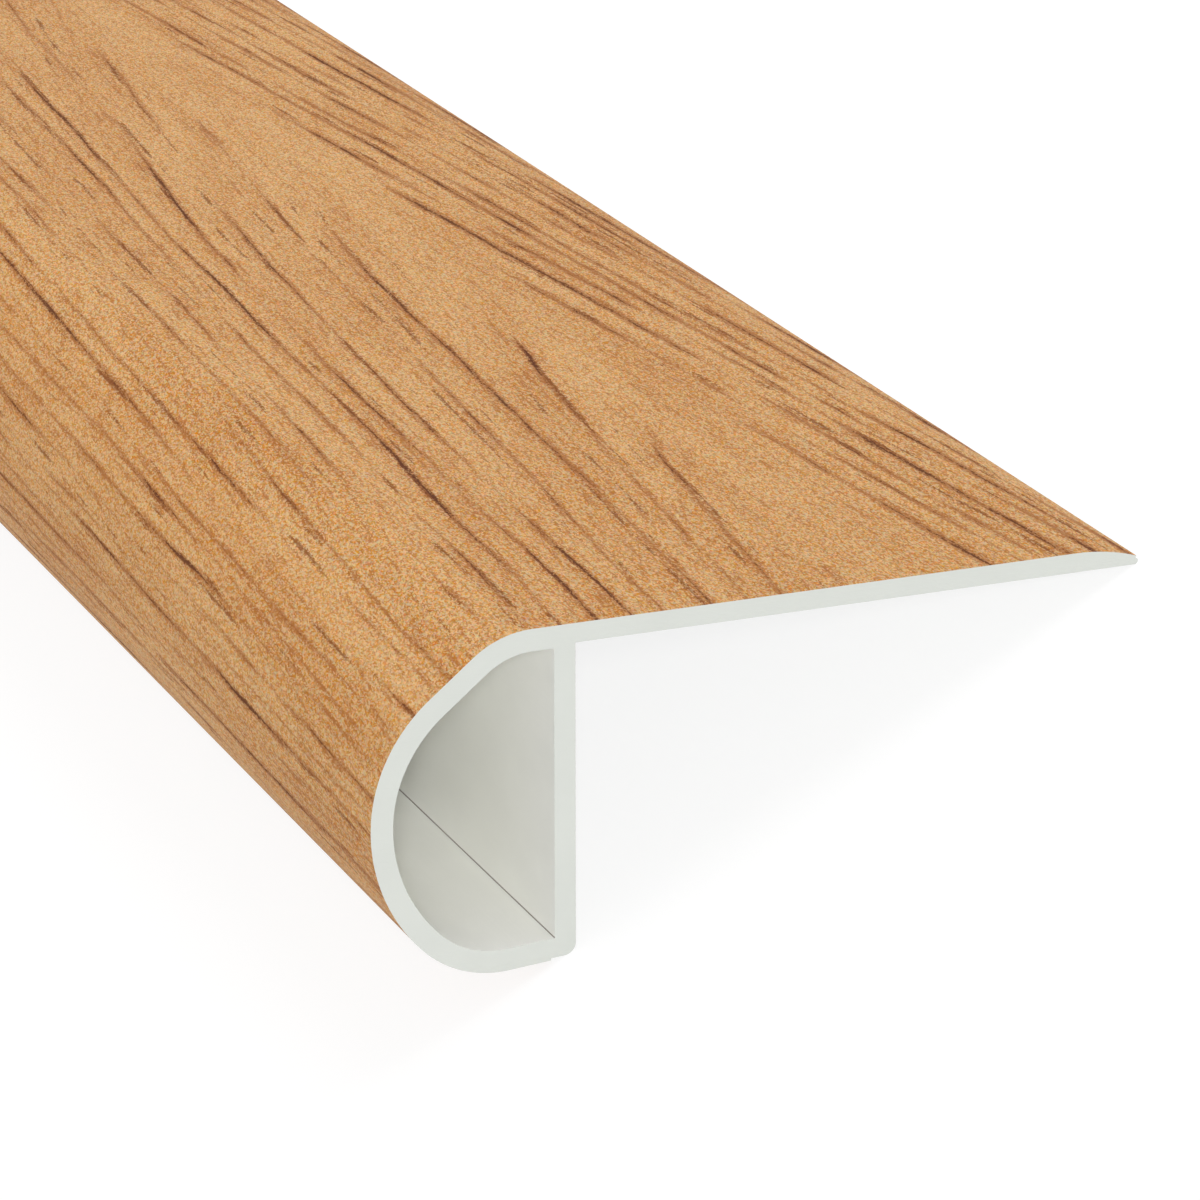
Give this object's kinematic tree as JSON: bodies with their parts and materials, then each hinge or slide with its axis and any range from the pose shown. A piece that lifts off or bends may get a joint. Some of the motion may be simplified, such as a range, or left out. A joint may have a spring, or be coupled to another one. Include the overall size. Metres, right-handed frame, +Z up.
{
  "type": "low profile stair nosing",
  "caption": "Low profile stair nosing: hollow rounded vinyl nose, a leg behind it and a thin tapered flange that laps over the tread, wrapped in printed wood-grain film.",
  "frame": {"origin": "on the floor, under the middle of the piece as it lies on its heel and the tip of its flange", "axes": "+X along the length of the stock, +Y from the nose towards the flange's tip, +Z up"},
  "size_m": [2.286, 0.0576, 0.0231],
  "materials": {
    "rigid_vinyl": "matte",
    "woodgrain_film": "satin"
  },
  "bodies": {
    "root": {"vinyl_profile": "rigid_vinyl", "woodgrain_film": "woodgrain_film"}
  },
  "joints": []
}
